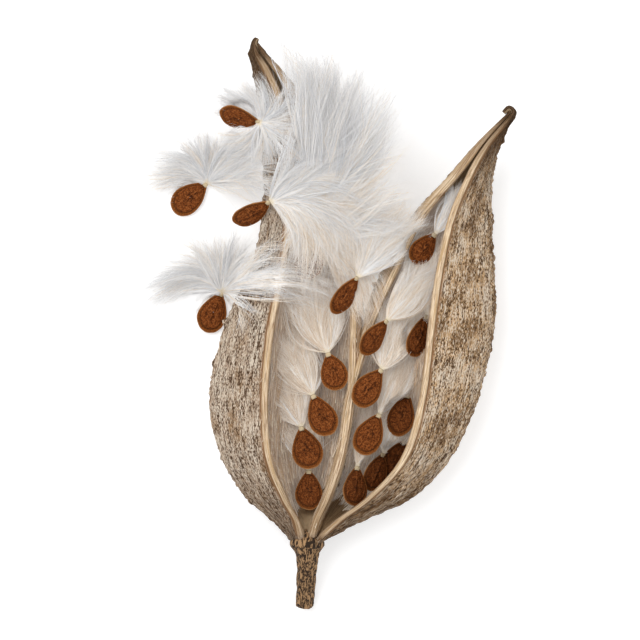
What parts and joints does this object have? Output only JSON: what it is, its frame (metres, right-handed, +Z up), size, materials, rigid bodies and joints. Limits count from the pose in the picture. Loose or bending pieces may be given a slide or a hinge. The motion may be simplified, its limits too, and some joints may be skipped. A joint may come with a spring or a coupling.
{
  "type": "milkweed seed pod",
  "caption": "Dry milkweed pod split open into two boat-shaped lobes, with a stub of stalk, flat brown seeds in rows and their white silk spilling out.",
  "frame": {"origin": "centre of the bounding box's underside, on the surface that the pod lies on", "axes": "+Y from the stalk towards the two beaks, +X towards the wider lobe, +Z up out of the open side"},
  "size_m": [0.0692, 0.115, 0.0203],
  "materials": {
    "husk": "dry, matt, rough outside with dark lengthwise streaks, pale fibrous rims",
    "stalk": "dry, matt, mottled brown bark",
    "seed": "satin reddish brown with a darker mottled middle",
    "silk": "fine glossy white hairs"
  },
  "bodies": {
    "root": {"husk": "husk", "stalk": "stalk", "seed_left_row_1": "seed", "seed_left_row_2": "seed", "seed_left_row_3": "seed", "seed_left_row_4": "seed", "seed_right_row_1": "seed", "seed_right_row_2": "seed", "seed_right_row_3": "seed", "seed_right_row_4": "seed", "seed_under_rim_1": "seed", "seed_under_rim_2": "seed", "seed_under_rim_3": "seed", "seed_under_rim_4": "seed", "seed_under_rim_5": "seed", "seed_on_ridge": "seed", "seed_loose_1": "seed", "seed_loose_2": "seed", "seed_loose_3": "seed", "seed_loose_4": "seed", "seed_in_fluff_1": "seed", "seed_in_fluff_2": "seed", "seed_in_fluff_3": "seed", "silk_left_row_1": "silk", "silk_left_row_2": "silk", "silk_left_row_3": "silk", "silk_left_row_4": "silk", "silk_right_row_1": "silk", "silk_right_row_2": "silk", "silk_right_row_3": "silk", "silk_right_row_4": "silk", "silk_under_rim_1": "silk", "silk_under_rim_2": "silk", "silk_under_rim_3": "silk", "silk_under_rim_4": "silk", "silk_under_rim_5": "silk", "silk_on_ridge": "silk", "silk_loose_1": "silk", "silk_loose_2": "silk", "silk_loose_3": "silk", "silk_loose_4": "silk", "silk_in_fluff_1": "silk", "silk_in_fluff_2": "silk", "silk_in_fluff_3": "silk"}
  },
  "joints": []
}
